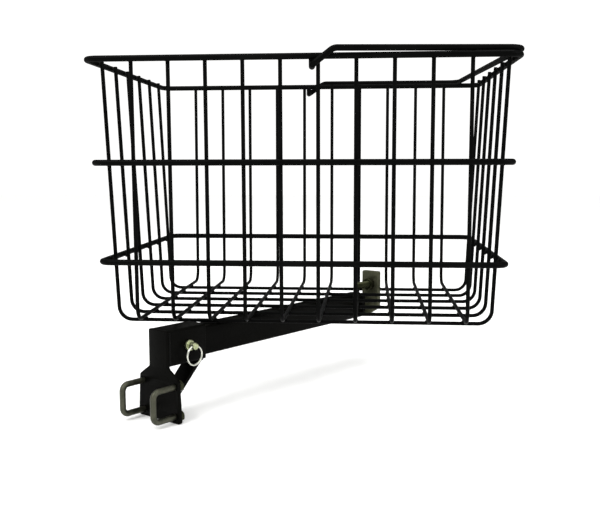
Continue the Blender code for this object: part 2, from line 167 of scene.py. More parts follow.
# -------------------------------------------------------------------- materials
class Nodes:
    """Short names for building the node tree of a material or a world."""

    def __init__(self, holder, shader="Principled BSDF", place="Object"):
        holder.use_nodes = True
        self.holder = holder
        self.tree = holder.node_tree
        self.shader = self.tree.nodes[shader]
        self.place = self.tree.nodes.new("ShaderNodeTexCoord").outputs[place]

    def link(self, source, target):
        self.tree.links.new(source, target)

    def stretched(self, x, y, z):
        mapping = self.tree.nodes.new("ShaderNodeMapping")
        mapping.inputs["Scale"].default_value = (x, y, z)
        self.link(self.place, mapping.inputs["Vector"])
        return mapping.outputs["Vector"]

    def noise(self, scale, detail=3.0, vector=None, roughness=0.5, distortion=0.0):
        node = self.tree.nodes.new("ShaderNodeTexNoise")
        node.inputs["Scale"].default_value = scale
        node.inputs["Detail"].default_value = detail
        node.inputs["Roughness"].default_value = roughness
        node.inputs["Distortion"].default_value = distortion
        self.link(vector or self.place, node.inputs["Vector"])
        return node.outputs["Fac"]

    def ramp(self, source, stops):
        node = self.tree.nodes.new("ShaderNodeValToRGB")
        ramp = node.color_ramp
        while len(ramp.elements) < len(stops):
            ramp.elements.new(0.5)
        for element, (place, colour) in zip(ramp.elements, stops):
            element.position = place
            element.color = (*colour, 1.0) if len(colour) == 3 else colour
        self.link(source, node.inputs["Fac"])
        return node.outputs["Color"]

    def span(self, source, low, high, start=0.3, stop=0.7):
        node = self.tree.nodes.new("ShaderNodeMapRange")
        node.inputs["From Min"].default_value = start
        node.inputs["From Max"].default_value = stop
        node.inputs["To Min"].default_value = low
        node.inputs["To Max"].default_value = high
        self.link(source, node.inputs["Value"])
        return node.outputs["Result"]

    def math(self, operation, first, second):
        node = self.tree.nodes.new("ShaderNodeMath")
        node.operation = operation
        for socket, value in zip(node.inputs, (first, second)):
            if isinstance(value, (int, float)):
                socket.default_value = value
            else:
                self.link(value, socket)
        return node.outputs["Value"]

    def mean(self, first, second):
        return self.math("ADD", self.math("MULTIPLY", first, 0.5), self.math("MULTIPLY", second, 0.5))

    def bump(self, height, strength, distance):
        node = self.tree.nodes.new("ShaderNodeBump")
        node.inputs["Strength"].default_value = strength
        node.inputs["Distance"].default_value = distance
        self.link(height, node.inputs["Height"])
        if self.shader.inputs["Normal"].is_linked:
            self.link(self.shader.inputs["Normal"].links[0].from_socket, node.inputs["Normal"])
        self.link(node.outputs["Normal"], self.shader.inputs["Normal"])

    def colour(self, source):
        self.link(source, self.shader.inputs["Base Color"])

    def rough(self, source):
        self.link(source, self.shader.inputs["Roughness"])

    def metal(self, value):
        self.shader.inputs["Metallic"].default_value = value

    def mirrored_behind(self, start, stop):
        """0, but for what the pieces mirror it rises to 1 from y = start to y = stop.

        y is a place in a material, and a direction in a world.
        """
        split = self.tree.nodes.new("ShaderNodeSeparateXYZ")
        self.link(self.place, split.inputs["Vector"])
        mirrored = self.tree.nodes.new("ShaderNodeLightPath").outputs["Is Glossy Ray"]
        return self.math("MULTIPLY", mirrored, self.span(split.outputs["Y"], 0.0, 1.0, start, stop))


def black_paint(name, tint, gloss, peel, sheen):
    """Black powder coat: a little uneven in colour and gloss, with orange peel.

    peel is the orange peel's noise scale, and sheen the specular level.
    """
    nodes = Nodes(bpy.data.materials.new(name))
    cloud = nodes.noise(PAINT_CLOUDS, 4.0)
    dark = tuple(0.62 * part for part in tint)
    light = tuple(1.7 * part for part in tint)
    nodes.colour(nodes.ramp(cloud, [(0.28, dark), (0.5, tint), (0.74, light)]))
    grain = nodes.noise(PAINT_GRAIN, 3.0, roughness=0.6)
    nodes.rough(nodes.span(nodes.mean(cloud, grain), gloss - 0.07, gloss + 0.12, 0.35, 0.65))
    nodes.bump(nodes.noise(peel, 2.0), 0.22, 0.00025)
    nodes.bump(nodes.noise(PAINT_PITS, 2.0), 0.12, 0.00008)
    nodes.shader.inputs["Specular IOR Level"].default_value = sheen
    return nodes.holder


def plated(name, colours, gloss, metallic, grain_scale, grain_strength, vector_scale=None):
    """Zinc plate: clouded passivation colours over fine drawing or turning marks."""
    nodes = Nodes(bpy.data.materials.new(name))
    cloud = nodes.noise(ZINC_CLOUDS, 4.0, roughness=0.62, distortion=0.6)
    nodes.colour(nodes.ramp(cloud, list(zip((0.30, 0.46, 0.60, 0.76), colours))))
    vector = nodes.stretched(*vector_scale) if vector_scale else None
    marks = nodes.noise(grain_scale, 4.0, vector=vector, roughness=0.65)
    nodes.rough(nodes.span(nodes.mean(cloud, marks), gloss - 0.09, gloss + 0.13, 0.38, 0.62))
    nodes.bump(marks, grain_strength, 0.0001)
    nodes.bump(nodes.noise(ZINC_PITS, 3.0), 0.15, 0.0001)
    nodes.metal(metallic)
    return nodes.holder


def make_materials():
    return {
        "wire": black_paint("black_wire_paint", (0.0016, 0.0017, 0.0016), 0.33, 420.0, 0.018),
        "bracket": black_paint("black_bracket_paint", (0.0014, 0.0014, 0.0011), 0.36, 330.0, 0.022),
        "weld": black_paint("painted_weld", (0.0020, 0.0020, 0.0018), 0.34, 900.0, 0.04),
        "olive": plated("olive_zinc", OLIVE, 0.38, 0.9, 900.0, 0.25),
        "dark": plated("dark_olive_zinc", DARK, 0.34, 0.9, 1100.0, 0.22),
        "lug": plated("lug_zinc", LUG, 0.46, 0.85, 700.0, 0.22, (1.0, 1.0, 0.12)),
        "pale": plated("yellow_zinc", PALE, 0.30, 0.95, 1.0, 0.30, (60.0, 60.0, 2400.0)),
        "steel": plated("bright_steel", STEEL, 0.24, 1.0, 1100.0, 0.12),
    }


# ------------------------------------------------------------------ mesh helpers
def mesh_piece(name, vertices, faces, finish, smooth_angle=32.0, matrix=None):
    mesh = bpy.data.meshes.new(name)
    mesh.from_pydata([tuple(point) for point in vertices], [], faces)
    if matrix is not None:
        mesh.transform(matrix)
    tidy_normals(mesh)
    mesh.shade_smooth()
    mesh.set_sharp_from_angle(angle=math.radians(smooth_angle))
    piece = bpy.data.objects.new(name, mesh)
    bpy.context.scene.collection.objects.link(piece)
    mesh.materials.append(finish)
    return piece


def tidy_normals(mesh):
    bm = bmesh.new()
    bm.from_mesh(mesh)
    bmesh.ops.recalc_face_normals(bm, faces=bm.faces)
    bm.to_mesh(mesh)
    bm.free()


def applied(piece):
    """Replace a piece's mesh by its evaluated one, and drop its modifiers."""
    graph = bpy.context.evaluated_depsgraph_get()
    mesh = bpy.data.meshes.new_from_object(piece.evaluated_get(graph))
    piece.modifiers.clear()
    piece.data = mesh
    return piece


def joined(name, parts):
    """One piece made of several bodies that share a material."""
    bm = bmesh.new()
    for part in parts:
        bm.from_mesh(part.data)
    mesh = bpy.data.meshes.new(name)
    bm.to_mesh(mesh)
    bm.free()
    mesh.materials.append(parts[0].data.materials[0])
    for part in parts:
        bpy.data.objects.remove(part)
    piece = bpy.data.objects.new(name, mesh)
    bpy.context.scene.collection.objects.link(piece)
    return piece


def fillet(corners, radii, steps=10, closed=False):
    """Round a polyline's corners with arcs; radii is one value or one per corner."""
    corners = [Vector(corner) for corner in corners]
    count = len(corners)
    if not isinstance(radii, (list, tuple)):
        radii = [radii] * count
    points = []
    for index, corner in enumerate(corners):
        if radii[index] == 0 or (not closed and index in (0, count - 1)):
            points.append(corner)
            continue
        back = (corners[index - 1] - corner).normalized()
        ahead = (corners[(index + 1) % count] - corner).normalized()
        half = back.angle(ahead) / 2
        reach = radii[index] / math.tan(half)
        middle = corner + (back + ahead).normalized() * radii[index] / math.sin(half)
        first = corner + back * reach - middle
        last = corner + ahead * reach - middle
        sweep_angle = first.angle(last)
        for step in range(steps + 1):
            part = step / steps
            spoke = math.sin((1 - part) * sweep_angle) * first + math.sin(part * sweep_angle) * last
            points.append(middle + spoke / math.sin(sweep_angle))
    return points


def resampled(points, spacing, closed=False):
    """Split long straight runs so that no step is longer than spacing."""
    result = []
    pairs = list(zip(points, points[1:] + points[:1])) if closed else list(zip(points, points[1:]))
    for first, second in pairs:
        pieces = max(1, math.ceil((second - first).length / spacing))
        result += [first.lerp(second, part / pieces) for part in range(pieces)]
    if not closed:
        result.append(points[-1])
    return result


def sweep(name, points, radius, finish, sides=16, closed=False, round_ends=0.0, matrix=None,
          smooth_angle=40.0):
    """A round bar along its centre points.

    radius is a number, or a function of (distance along, angle) that gives the
    surface's distance from the centre line.  round_ends eases the two end edges.
    """
    points = [Vector(point) for point in points]
    if not closed and round_ends:
        points = eased_ends(points, round_ends)
    count = len(points)
    place = np.array([tuple(point) for point in points])
    ahead = np.roll(place, -1, axis=0) - place
    if closed:
        behind = np.roll(ahead, 1, axis=0)
        tangent = (ahead / np.linalg.norm(ahead, axis=1)[:, None]
                   + behind / np.linalg.norm(behind, axis=1)[:, None])
    else:
        unit = ahead[:-1] / np.linalg.norm(ahead[:-1], axis=1)[:, None]
        tangent = np.vstack([unit[:1], unit[1:] + unit[:-1], unit[-1:]])
    tangent /= np.linalg.norm(tangent, axis=1)[:, None]
    along = np.concatenate([[0.0], np.cumsum(np.linalg.norm(np.diff(place, axis=0), axis=1))])
    normal = np.cross(tangent[0], (0.0, 0.0, 1.0) if abs(tangent[0][2]) < 0.9 else (1.0, 0.0, 0.0))
    normal /= np.linalg.norm(normal)
    normals = [normal]
    for index in range(1, count):
        normal = normals[-1] - tangent[index] * np.dot(normals[-1], tangent[index])
        normals.append(normal / np.linalg.norm(normal))
    turns = 2 * math.pi * np.arange(sides) / sides
    vertices = []
    length = along[-1]
    for index in range(count):
        side = np.cross(tangent[index], normals[index])
        sink = 0.0
        if not closed and round_ends:
            edge = min(along[index], length - along[index])
            if edge < round_ends:
                sink = round_ends - math.sqrt(max(0.0, round_ends ** 2 - (round_ends - edge) ** 2))
        for turn in turns:
            reach = radius(along[index], turn) if callable(radius) else radius
            spoke = math.cos(turn) * normals[index] + math.sin(turn) * side
            vertices.append(place[index] + (reach - sink) * spoke)
    faces = []
    rings = count if closed else count - 1
    for ring in range(rings):
        below, above = ring * sides, ((ring + 1) % count) * sides
        for index in range(sides):
            after = (index + 1) % sides
            faces.append((below + index, below + after, above + after, above + index))
    if not closed:
        faces.append(tuple(reversed(range(sides))))
        faces.append(tuple(range((count - 1) * sides, count * sides)))
    return mesh_piece(name, vertices, faces, finish, smooth_angle, matrix)


def eased_ends(points, ease):
    """Add close stations at both ends, where the end edges are rounded."""
    stations = [ease * (1 - math.cos(turn)) for turn in (math.pi / 8 * step for step in range(5))]
    first, last = (points[1] - points[0]).normalized(), (points[-2] - points[-1]).normalized()
    head = [points[0] + first * station for station in stations]
    tail = [points[-1] + last * station for station in stations]
    return head + points[1:-1] + tail[::-1]


def lathe(name, profile, finish, matrix, sides=48, smooth_angle=32.0):
    """A solid of revolution about Z from (radius, height) points, bottom to top."""
    vertices, faces = [], []
    for radius, height in profile:
        for step in range(sides):
            turn = 2 * math.pi * step / sides
            vertices.append((radius * math.cos(turn), radius * math.sin(turn), height))
    for ring in range(len(profile) - 1):
        for index in range(sides):
            after = (index + 1) % sides
            low, high = ring * sides, (ring + 1) * sides
            faces.append((low + index, low + after, high + after, high + index))
    faces.append(tuple(reversed(range(sides))))
    faces.append(tuple(range((len(profile) - 1) * sides, len(profile) * sides)))
    return mesh_piece(name, vertices, faces, finish, smooth_angle, matrix)


def hex_radius(turn, across_flats):
    """A hexagon's radius at an angle; its flats face 0, 60, 120... degrees."""
    sector = math.pi / 3
    local = (turn + sector / 2) % sector - sector / 2
    return across_flats / 2 / math.cos(local)


def hex_body(name, across_flats, height, hole, finish, matrix, chamfer_low=True, samples=96):
    """A hexagon nut or bolt head about Z, its corners turned down at 30 degrees."""
    rim = across_flats / 2 * HEX_FACE
    turns = [2 * math.pi * index / samples for index in range(samples)]
    rings = []

    def ring(radius_of, height_of):
        rings.append([(radius_of(turn) * math.cos(turn), radius_of(turn) * math.sin(turn),
                       height_of(turn)) for turn in turns])

    def corner(turn):
        return hex_radius(turn, across_flats)

    if hole:
        ring(lambda turn: hole, lambda turn: height * 0.5)
        ring(lambda turn: hole, lambda turn: HOLE_CHAMFER_DEPTH)
        ring(lambda turn: hole + HOLE_CHAMFER, lambda turn: 0.0)
    else:
        ring(lambda turn: rim * 0.02, lambda turn: 0.0)
    if chamfer_low:
        ring(lambda turn: rim, lambda turn: 0.0)
        ring(corner, lambda turn: (corner(turn) - rim) * HEX_SLOPE)
    else:
        ring(corner, lambda turn: 0.0)
    ring(corner, lambda turn: height - (corner(turn) - rim) * HEX_SLOPE)
    ring(lambda turn: rim, lambda turn: height)
    if hole:
        ring(lambda turn: hole + HOLE_CHAMFER, lambda turn: height)
        ring(lambda turn: hole, lambda turn: height - HOLE_CHAMFER_DEPTH)
    else:
        ring(lambda turn: rim * 0.6, lambda turn: height)
        ring(lambda turn: rim * 0.02, lambda turn: height)
    vertices = [point for row in rings for point in row]
    faces = []
    last = len(rings) if hole else len(rings) - 1
    for row in range(last):
        below, above = row * samples, ((row + 1) % len(rings)) * samples
        for index in range(samples):
            after = (index + 1) % samples
            faces.append((below + index, below + after, above + after, above + index))
    if not hole:
        faces.append(tuple(reversed(range(samples))))
        faces.append(tuple(range((len(rings) - 1) * samples, len(rings) * samples)))
    return mesh_piece(name, vertices, faces, finish, 24.0, matrix)


def threaded(size, length, spans, chamfer=0.0007, fade=0.0012):
    """A bar's radius function: rolled threads over some spans, and chamfered ends."""
    radius, pitch = size["radius"], size["pitch"]
    depth = THREAD_DEPTH * pitch

    def reach(distance, turn):
        result = radius
        for start, stop in spans:
            if start <= distance <= stop:
                phase = (distance / pitch - turn / (2 * math.pi)) % 1.0
                crest = (abs(2 * phase - 1) - THREAD_FLAT) / (1 - 2 * THREAD_FLAT)
                crest = min(1.0, max(0.0, crest))
                blend = min(1.0, 1.0 if start <= 0 else (distance - start) / fade,
                            1.0 if stop >= length else (stop - distance) / fade)
                result = radius - depth * blend * (1 - crest)
        edge = min(distance, length - distance)
        return min(result, radius - max(0.0, chamfer - edge))

    return reach


def path_length(points):
    return sum((second - first).length for first, second in zip(points, points[1:]))


def close_stations(points, lengths, spacing):
    """Add close stations over the first and last stretch of a bar, for its threads."""
    result = list(points)
    for stretch in lengths:
        if stretch:
            way = (result[1] - result[0]).normalized()
            steps = int(stretch / spacing)
            result = [result[0] + way * (spacing * step) for step in range(steps + 1)] + result[1:]
        result.reverse()
    return result


def finish_piece(piece, body, replaced=()):
    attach(piece, body)
    if replaced:
        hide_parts(*replaced)
    return piece


# ------------------------------------------------------------------- the frames
def clamp_matrix():
    """The arm's own frame: +Y along the arm from the handlebar to the basket."""
    mounts = {mount["name"]: mount for mount in frame["record"]["mounts"]}
    axis = mounts["handlebar_clamp"]["axis"]
    return Matrix.Rotation(math.atan2(axis[1], axis[0]), 4, "Z")


CLAMP = clamp_matrix()
CLAMP_BACK = CLAMP.inverted()


def local_box(node):
    """A CAD node's box in the arm's own frame."""
    points = [CLAMP_BACK @ vertex.co for vertex in frame["nodes"][node].data.vertices]
    low = Vector([min(point[axis] for point in points) for axis in range(3)])
    high = Vector([max(point[axis] for point in points) for axis in range(3)])
    return low, high


def pin_place():
    """The middle of the pin's bore, on the arm's centre line."""
    low, high = local_box("quick_release_pin")
    return Matrix.Translation((0.0, (low.y + high.y) / 2, (low.z + high.z) / 2))


def box_of(node):
    low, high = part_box(node)
    return Vector(low), Vector(high)


# ------------------------------------------------------------------- the basket
def hoop_radius(node):
    low, high = box_of(node)
    return (high.z - low.z) / 2


def cage_radius(node):
    low, high = box_of(node)
    return (high.x - low.x) / 2


def hoop_points(node, steps=12):
    low, high = box_of(node)
    radius = HOOP_RADIUS
    z = (low.z + high.z) / 2
    corners = [(high.x - radius, high.y - radius, z), (low.x + radius, high.y - radius, z),
               (low.x + radius, low.y + radius, z), (high.x - radius, low.y + radius, z)]
    return fillet(corners, RIM_CORNER, steps, closed=True)


def build_hoops(materials):
    for node in HOOPS:
        points = resampled(hoop_points(node), WIRE_STEP, closed=True)
        piece = sweep(node + "_wire", points, HOOP_RADIUS, materials["wire"], sides=20, closed=True)
        finish_piece(piece, "basket", [node])


def cage_corners(node, across):
    """Corner points of one U-shaped wire, read from its CAD node's box."""
    low, high = box_of(node)
    radius = CAGE_RADIUS
    lean = LEAN_Y if across == 1 else LEAN_X
    middle = (low + high) / 2
    top, floor = high.z - radius * lean, low.z + radius
    wide = (high[across] - low[across]) / 2 - radius
    narrow = wide - lean * (top - floor)
    result = []
    for side, half, z in ((-1, wide, top), (-1, narrow, floor), (1, narrow, floor), (1, wide, top)):
        point = [middle.x, middle.y, z]
        point[across] = middle[across] + side * half
        result.append(Vector(point))
    return result


def nodes_called(prefix):
    return sorted(name for name in frame["nodes"] if name.startswith(prefix))


def build_cage(materials):
    for prefix, across in CAGE:
        for node in nodes_called(prefix):
            points = resampled(fillet(cage_corners(node, across), CAGE_BEND, 10), WIRE_STEP)
            piece = sweep(node.replace("wire", "rod"), points, CAGE_RADIUS, materials["wire"],
                          sides=16, round_ends=WIRE_END_EDGE)
            finish_piece(piece, "basket", [node])


def nugget(centre, along, across, sizes):
    """One resistance weld: a squashed, slightly lumpy ball between two wires."""
    bm = bmesh.new()
    bmesh.ops.create_icosphere(bm, subdivisions=2, radius=1.0)
    up = along.cross(across).normalized()
    basis = Matrix((along.normalized(), across.normalized(), up)).transposed()
    seed = Vector((rng.uniform(0, 9), rng.uniform(0, 9), rng.uniform(0, 9)))
    for vertex in bm.verts:
        wave = math.sin(3.1 * vertex.co.x + seed.x) * math.sin(2.7 * vertex.co.y + seed.y)
        lump = 1.0 + WELD_LUMPS * wave
        vertex.co = centre + basis @ Vector([lump * part * size for part, size in zip(vertex.co, sizes)])
    mesh = bpy.data.meshes.new("nugget")
    bm.to_mesh(mesh)
    bm.free()
    return mesh


def wall_point(corners, side, z):
    """Where a cage wire's centre line is at a height, on its first or last leg."""
    top, floor = (corners[0], corners[1]) if side < 0 else (corners[3], corners[2])
    part = (z - floor.z) / (top.z - floor.z)
    return floor.lerp(top, part)


def build_welds(materials):
    """A weld wherever two wires of the basket cross."""
    bm = bmesh.new()

    def add(centre, along, across, sizes):
        mesh = nugget(centre, along, across, sizes)
        bm.from_mesh(mesh)
        bpy.data.meshes.remove(mesh)

    hoop_heights = [(box_of(node)[0].z + box_of(node)[1].z) / 2 for node in HOOPS]
    offset = CAGE_RADIUS + GAP / 2
    floor_runs = {}
    for prefix, across in CAGE:
        hoop_way = Vector((1, 0, 0)) if across == 1 else Vector((0, 1, 0))
        outward = Vector((0, 1, 0)) if across == 1 else Vector((1, 0, 0))
        floor_runs[prefix] = []
        for node in nodes_called(prefix):
            corners = cage_corners(node, across)
            floor_runs[prefix].append(corners)
            for height in hoop_heights:
                for side in (-1, 1):
                    centre = wall_point(corners, side, height - WELD_SAG) + side * outward * offset
                    add(centre, hoop_way, Vector((0, 0, 1)), HOOP_WELD)
    for first in floor_runs["cross_wire_"]:
        for second in floor_runs["length_wire_"]:
            centre = Vector((first[1].x, second[1].y, (first[1].z + second[1].z) / 2))
            add(centre, Vector((1, 0, 0)), Vector((0, 1, 0)), FLOOR_WELD)
    mesh = bpy.data.meshes.new("basket_welds")
    bm.to_mesh(mesh)
    bm.free()
    mesh.shade_smooth()
    mesh.materials.append(materials["weld"])
    piece = bpy.data.objects.new("basket_welds", mesh)
    bpy.context.scene.collection.objects.link(piece)
    finish_piece(piece, "basket")


def bail_side(side, shoulder_up, end_up):
    """One arm of the bail: hook tip, pivot, shoulder and the cross-bar's corner."""
    return [Vector((0.0, side * BAIL_TIP_HALF_WIDTH, BAIL_TIP_LENGTH)),
            Vector((0.0, side * BAIL_TIP_HALF_WIDTH, 0.0)), Vector((0.0, side * BAIL_HALF_WIDTH, 0.0)),
            Vector((BAIL_SHOULDER_OUT, side * BAIL_HALF_WIDTH, shoulder_up)),
            Vector((BAIL_REACH, side * BAIL_HALF_WIDTH, end_up))]


def build_bail(materials):
    end_up = BAIL_AXIS_DROP + 2 * HOOP_RADIUS + GAP
    radii = [0.0, BAIL_HOOK_BEND, BAIL_HOOK_BEND, BAIL_SHOULDER_BEND, BAIL_CORNER]
    near = bail_side(-1, BAIL_NEAR_SHOULDER_UP, end_up)
    far = bail_side(1, BAIL_FAR_SHOULDER_UP, end_up)
    corners = near + far[::-1]
    points = resampled(fillet(corners, radii + radii[::-1], 12), WIRE_STEP)
    low, high = box_of("top_rim")
    centre = (low + high) / 2 - Vector((0, 0, BAIL_AXIS_DROP))
    matrix = Matrix.Translation(centre) @ Matrix.Rotation(BAIL_YAW, 4, "Z")
    piece = sweep("bail_wire", points, HOOP_RADIUS, materials["wire"], sides=24,
                  round_ends=BAIL_END_EDGE, matrix=matrix)
    finish_piece(piece, "bail", ["bail_handle"])


# ------------------------------------------------------------ plates and tubes
# from a drawing's XY to an upright plane: across the arm, along it, and across it from behind
UPRIGHT = Matrix(((1, 0, 0, 0), (0, 0, -1, 0), (0, 1, 0, 0), (0, 0, 0, 1)))
SIDEWAYS = Matrix(((0, 0, 1, 0), (1, 0, 0, 0), (0, 1, 0, 0), (0, 0, 0, 1)))
BACKWARD = Matrix(((-1, 0, 0, 0), (0, 0, 1, 0), (0, 1, 0, 0), (0, 0, 0, 1)))


def panel(name, outlines, thickness, edge, finish, matrix):
    """A plate or tube with rounded edges; its outlines lie in XY, the outer one first."""
    curve = bpy.data.curves.new(name, "CURVE")
    curve.dimensions = "2D"
    curve.fill_mode = "BOTH"
    curve.extrude = thickness / 2 - edge
    curve.bevel_depth = edge
    curve.bevel_resolution = 2
    curve.offset = -edge
    for outline in outlines:
        spline = curve.splines.new("POLY")
        spline.points.add(len(outline) - 1)
        for point, place in zip(spline.points, outline):
            point.co = (place[0], place[1], 0.0, 1.0)
        spline.use_cyclic_u = True
    holder = bpy.data.objects.new(name, curve)
    bpy.context.scene.collection.objects.link(holder)
    mesh = bpy.data.meshes.new_from_object(holder.evaluated_get(bpy.context.evaluated_depsgraph_get()))
    bpy.data.objects.remove(holder)
    bm = bmesh.new()
    bm.from_mesh(mesh)
    bmesh.ops.remove_doubles(bm, verts=bm.verts, dist=1e-6)
    bm.to_mesh(mesh)
    bm.free()
    mesh.materials.clear()
    return placed(name, mesh, finish, matrix)


def placed(name, mesh, finish, matrix, smooth_angle=30.0):
    mesh.transform(CLAMP @ matrix)
    tidy_normals(mesh)
    mesh.shade_smooth()
    mesh.set_sharp_from_angle(angle=math.radians(smooth_angle))
    mesh.materials.append(finish)
    piece = bpy.data.objects.new(name, mesh)
    bpy.context.scene.collection.objects.link(piece)
    return piece


def circle(x, y, radius, steps=32):
    turns = (2 * math.pi * step / steps for step in range(steps))
    return [Vector((x + radius * math.cos(turn), y + radius * math.sin(turn), 0)) for turn in turns]


def oblong(wide, tall, corner, middle=0.0):
    corners = [Vector((wide / 2, tall / 2 + middle, 0)), Vector((-wide / 2, tall / 2 + middle, 0)),
               Vector((-wide / 2, middle - tall / 2, 0)), Vector((wide / 2, middle - tall / 2, 0))]
    return fillet(corners, corner, 8, closed=True)


def bored(piece, radius, reach, matrix):
    """Cut a round hole along the Z of matrix, through a piece."""
    finish = piece.data.materials[0]
    cutter = lathe("cutter", [(radius, -reach), (radius, reach)], finish, CLAMP @ matrix, 40)
    cut = piece.modifiers.new("bore", "BOOLEAN")
    cut.operation, cut.solver, cut.object = "DIFFERENCE", "EXACT", cutter
    applied(piece)
    bpy.data.objects.remove(cutter)
    piece.data.shade_smooth()
    piece.data.set_sharp_from_angle(angle=math.radians(30))
    return piece


def bead(points, radius, finish):
    """A weld bead: a rippled bar sunk into a seam, tapering at both ends."""
    points = resampled([Vector(point) for point in points], BEAD_PITCH / 5)
    length = path_length(points)
    start = rng.uniform(0, 1)

    def reach(distance, turn):
        phase = 2 * math.pi * (distance / BEAD_PITCH + start) + 0.5 * math.cos(turn)
        ripple = 1 + BEAD_RIPPLE * math.sin(phase)
        sway = 1 + BEAD_SWAY * math.sin(2 * math.pi * distance / (5.3 * BEAD_PITCH) + 9 * start)
        edge = min(distance, length - distance) / radius
        return radius * ripple * sway * math.sqrt(max(0.06, 1 - max(0.0, 1 - edge) ** 2))

    return sweep("bead", points, reach, finish, sides=14, matrix=CLAMP)


def build_bracket(materials):
    finish = materials["bracket"]
    low, high = local_box("clamp_plate")
    tube_low, tube_high = local_box("receiver_tube")
    neck = (tube_high.x - tube_low.x) / 2
    half = [(high.x, low.z), (PLATE_SHOULDER_WIDTH / 2, PLATE_SHOULDER_ABOVE_BAR),
            (neck, PLATE_NECK_ABOVE_BAR), (neck, high.z)]
    corners = [Vector((x, z, 0)) for x, z in half] + [Vector((-x, z, 0)) for x, z in half[::-1]]
    outline = fillet(corners, PLATE_CORNERS + PLATE_CORNERS[::-1], 8, closed=True)
    holes = []
    for node in U_BOLTS:
        bolt_low, bolt_high = local_box(node)
        x = (bolt_low.x + bolt_high.x) / 2
        holes += [circle(x, bolt_low.z + M6["radius"], PLATE_HOLE_RADIUS),
                  circle(x, bolt_high.z - M6["radius"], PLATE_HOLE_RADIUS)]
    middle = Matrix.Translation((0, (low.y + high.y) / 2, 0))
    plate = panel("bracket_plate", [outline] + holes, high.y - low.y, PLATE_EDGE, finish,
                  middle @ UPRIGHT)
    finish_piece(plate, "clamp_and_arm", ["clamp_plate"])

    wide, tall = tube_high.x - tube_low.x, tube_high.z - tube_low.z
    middle = Matrix.Translation((0, (tube_low.y + tube_high.y) / 2, (tube_low.z + tube_high.z) / 2))
    outlines = [oblong(wide, tall, TUBE_CORNER),
                oblong(wide - 2 * RECEIVER_WALL, tall - 2 * RECEIVER_WALL, TUBE_CORNER / 3)]
    receiver = panel("receiver", outlines, tube_high.y - tube_low.y, PLATE_EDGE, finish,
                     middle @ UPRIGHT)
    bored(receiver, PIN_RADIUS + GAP, wide, PIN_PLACE @ SIDEWAYS)
    finish_piece(receiver, "clamp_and_arm", ["receiver_tube"])

    brace_low, brace_high = local_box("receiver_brace")
    rise = brace_high.z - (brace_low.z + BRACE_FOOT)
    start, far = brace_low.y, brace_high.y
    reach = far / (1 + BRACE_FOOT / rise)
    corners = [Vector((start, brace_low.z, 0)), Vector((far, brace_high.z, 0)),
               Vector((reach, brace_high.z, 0)), Vector((start, brace_low.z + BRACE_FOOT, 0))]
    width = brace_high.x - brace_low.x
    strap = panel("brace_strap", [corners], width, PLATE_EDGE, finish, SIDEWAYS)
    finish_piece(strap, "clamp_and_arm", ["receiver_brace"])

    # upright beads beside the receiver, then level ones under it and at the strap's ends
    side, half_strap = neck - 0.0003, width / 2 - PLATE_EDGE
    between, seam = high.y + GAP / 2, high.y + 0.0005
    low_end, high_end = tube_low.z + BEAD_INSET, tube_high.z - BEAD_INSET
    beads = [bead([(x, between, low_end), (x, between, high_end)], 0.0012, materials["weld"])
             for x in (-side, side)]
    strap_top = brace_high.z - 0.0002
    for y, z, radius in ((seam, tube_low.z - 0.0002, 0.0022),
                         (seam, brace_low.z + BRACE_FOOT + 0.0006, 0.0020),
                         (seam, brace_low.z + 0.0004, 0.0016),
                         (reach - 0.0004, strap_top, 0.0018), (far + 0.0004, strap_top, 0.0018)):
        beads.append(bead([(-half_strap, y, z), (half_strap, y, z)], radius, materials["weld"]))
    finish_piece(joined("bracket_welds", beads), "clamp_and_arm")


def build_arm(materials):
    low, high = local_box("arm_tube")
    wide, tall = high.x - low.x, high.z - low.z
    middle = Matrix.Translation((0, (low.y + high.y) / 2, (low.z + high.z) / 2))
    outlines = [oblong(wide, tall, TUBE_CORNER),
                oblong(wide - 2 * ARM_WALL, tall - 2 * ARM_WALL, TUBE_CORNER / 3)]
    tube = panel("carrier_arm", outlines, high.y - low.y, ARM_EDGE, materials["bracket"],
                 middle @ UPRIGHT)
    bored(tube, PIN_RADIUS + GAP, wide, PIN_PLACE @ SIDEWAYS)
    finish_piece(tube, "clamp_and_arm", ["arm_tube"])

    lug_low, lug_high = local_box("arm_lug")
    bolt_low, bolt_high = local_box("lug_bolt")
    inner, right = lug_high.x - LUG_WIDTH, lug_high.x
    foot = high.z - LUG_FOOT_BELOW_ARM_TOP
    shape = [(-wide / 2, lug_low.z), (right - 1.6 * LUG_CORNER_CUT, lug_low.z),
             (right, lug_low.z + LUG_CORNER_CUT), (right, lug_high.z), (inner, lug_high.z),
             (inner, foot), (-wide / 2, foot)]
    outline = fillet([Vector((x, z, 0)) for x, z in shape], LUG_CORNERS, 6, closed=True)
    hole = circle((bolt_low.x + bolt_high.x) / 2, (bolt_low.z + bolt_high.z) / 2, M8["radius"] + GAP)
    middle = Matrix.Translation((0, (lug_low.y + lug_high.y) / 2, 0))
    lug = panel("basket_lug", [outline, hole], lug_high.y - lug_low.y, PLATE_EDGE, materials["lug"],
                middle @ UPRIGHT)
    finish_piece(lug, "clamp_and_arm", ["arm_lug"])

    # beads on the arm's right side, on its left side and underneath
    seam, edge, bottom = lug_low.y - GAP / 2, wide / 2, lug_low.z
    runs = (((edge + 0.0005, seam - 0.0004, bottom + BEAD_INSET),
             (edge + 0.0005, seam - 0.0004, high.z - BEAD_INSET), 0.0022),
            ((-edge + 0.0003, seam, bottom + BEAD_INSET),
             (-edge + 0.0003, seam, foot - BEAD_INSET), 0.0011),
            ((0.0016 - edge, seam + 0.0006, bottom), (edge - 0.0016, seam + 0.0006, bottom), 0.0014))
    beads = [bead([start, end], radius, materials["weld"]) for start, end, radius in runs]
    finish_piece(joined("lug_welds", beads), "clamp_and_arm")


